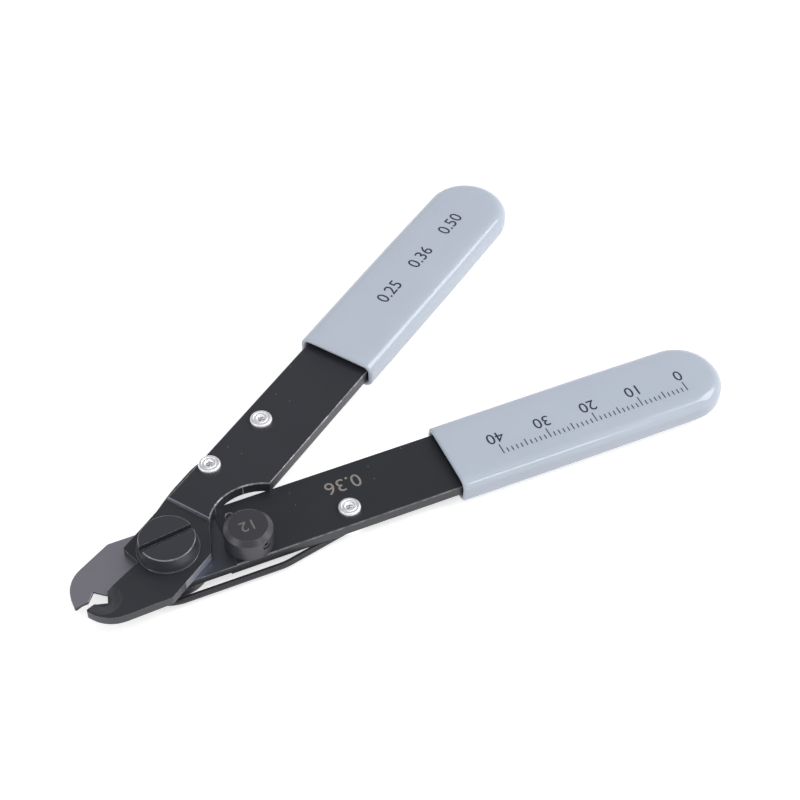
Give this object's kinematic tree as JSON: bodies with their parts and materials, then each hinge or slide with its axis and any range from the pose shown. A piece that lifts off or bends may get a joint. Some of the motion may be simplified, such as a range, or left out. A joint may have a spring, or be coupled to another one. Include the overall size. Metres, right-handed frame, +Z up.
{
  "type": "wire stripper",
  "caption": "Hand wire stripper: two steel levers crossing at a slotted pivot screw, V-notched jaws, eccentric stop knob, hairpin spring and vinyl grips.",
  "frame": {"origin": "on the pivot axis, at the surface that the tool lies on (the end face of the pivot screw and nut)", "axes": "+X from the jaws towards the handles, midway between the two levers at rest; +Z up, from the nut to the screw's head; +Y towards the upper lever's grip"},
  "size_m": [0.13, 0.0796, 0.0102],
  "materials": {
    "blacked_plate": "black oxide on stamped steel, satin",
    "vinyl": "dipped vinyl, satin, pale blue grey",
    "blacked_screw": "black oxide on turned steel, satin",
    "spring_wire": "dark drawn spring wire",
    "rivet_aluminium": "bright aluminium",
    "mandrel_steel": "bright steel",
    "knob_steel": "black oxide on turned steel, satin"
  },
  "bodies": {
    "lower_lever": {"lower_handle": "blacked_plate", "lower_grip": "vinyl", "pivot_screw": "blacked_screw", "head_washer": "blacked_screw", "spring_guide": "blacked_screw", "pivot_nut": "blacked_screw", "hairpin_spring": "spring_wire", "lower_rivet": "rivet_aluminium", "lower_rivet_mandrel": "mandrel_steel", "stop_stud": "blacked_screw"},
    "upper_lever": {"upper_handle": "blacked_plate", "upper_grip": "vinyl", "upper_rivet": "rivet_aluminium", "upper_rivet_mandrel": "mandrel_steel", "guide_rivet": "rivet_aluminium", "guide_rivet_mandrel": "mandrel_steel"},
    "stop_collar": {"stop_knob": "knob_steel", "knob_set_screw": "blacked_screw"}
  },
  "joints": [
    {"name": "handle_pivot", "type": "hinge", "parent": "lower_lever", "child": "upper_lever", "pos_m": [0, 0, 0.005], "axis": [0, 0, 1], "range_deg": [-16, 0], "stiffness_Nm_per_rad": 1.5, "springref_deg": 1.72, "deforming": ["hairpin_spring"]},
    {"name": "stop_turn", "type": "hinge", "parent": "lower_lever", "child": "stop_collar", "pos_m": [0.01367, -0.00692, 0.007], "axis": [0, 0, 1], "range_deg": [-90, 90]}
  ]
}
